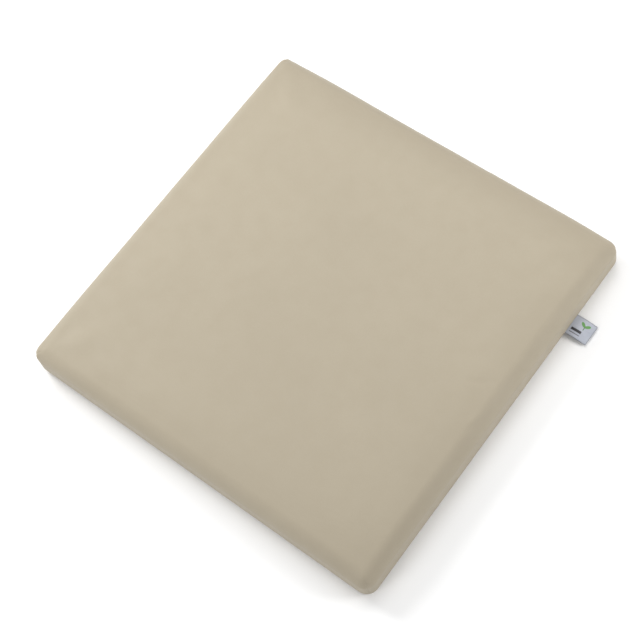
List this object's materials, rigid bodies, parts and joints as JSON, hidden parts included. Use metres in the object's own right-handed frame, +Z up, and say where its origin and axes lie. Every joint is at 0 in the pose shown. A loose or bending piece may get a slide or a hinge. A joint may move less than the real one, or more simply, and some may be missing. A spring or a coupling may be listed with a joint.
{
  "type": "kneeling pad",
  "caption": "Square kneeling pad: foam layers in a smooth zipped fabric cover with rounded edges and a small label sewn into a side seam.",
  "frame": {"origin": "middle of the flat underside of the pad, at floor level", "axes": "+Z up through the thickness, -Y the front edge with the label, +Y the back edge with the zip, which closes towards +X"},
  "size_m": [0.4, 0.4274, 0.04],
  "materials": {
    "cover_fabric": "smooth matt coated fabric, warm beige",
    "firm_foam": "cut open-cell foam, off-white grey",
    "soft_foam": "cut open-cell foam, cream",
    "sewing_thread": "spun polyester thread, beige",
    "zip_tape": "woven polyester tape, beige",
    "zip_nylon": "nylon coil, satin, beige",
    "zip_metal": "painted zinc alloy, satin, beige",
    "label_satin": "woven satin ribbon, silver grey"
  },
  "bodies": {
    "pad": {"top_cover": "cover_fabric", "bottom_cover": "cover_fabric", "back_wall_strip": "cover_fabric", "zip_end_tab_left": "cover_fabric", "zip_end_tab_right": "cover_fabric", "base_foam": "firm_foam", "comfort_foam": "soft_foam", "bottom_seam_thread": "sewing_thread", "corner_seam_thread_front_left": "sewing_thread", "corner_seam_thread_front_right": "sewing_thread", "corner_seam_thread_back_left": "sewing_thread", "corner_seam_thread_back_right": "sewing_thread", "zip_topstitch_upper": "sewing_thread", "zip_topstitch_lower": "sewing_thread", "zip_tape_upper": "zip_tape", "zip_tape_lower": "zip_tape", "zip_coil_upper": "zip_nylon", "zip_coil_lower": "zip_nylon", "zip_top_stop_upper": "zip_metal", "zip_top_stop_lower": "zip_metal", "zip_bottom_stop": "zip_metal", "label_sewn_end": "label_satin"},
    "slider": {"zip_slider": "zip_metal"},
    "pull_tab": {"zip_pull_tab": "zip_metal"},
    "label": {"label_flap": "label_satin"}
  },
  "joints": [
    {"name": "zip_slide", "type": "slide", "parent": "pad", "child": "slider", "axis": [-1, 0, 0], "range_m": [0, 0.33]},
    {"name": "pull_tab_swing", "type": "hinge", "parent": "slider", "child": "pull_tab", "pos_m": [0.165, 0.20355, 0.0155], "axis": [0, 0, -1], "range_deg": [0, 175]},
    {"name": "label_fold", "type": "hinge", "parent": "pad", "child": "label", "pos_m": [0.116, -0.2006, 0.004], "axis": [-1, 0, 0], "range_deg": [0, 85]}
  ]
}
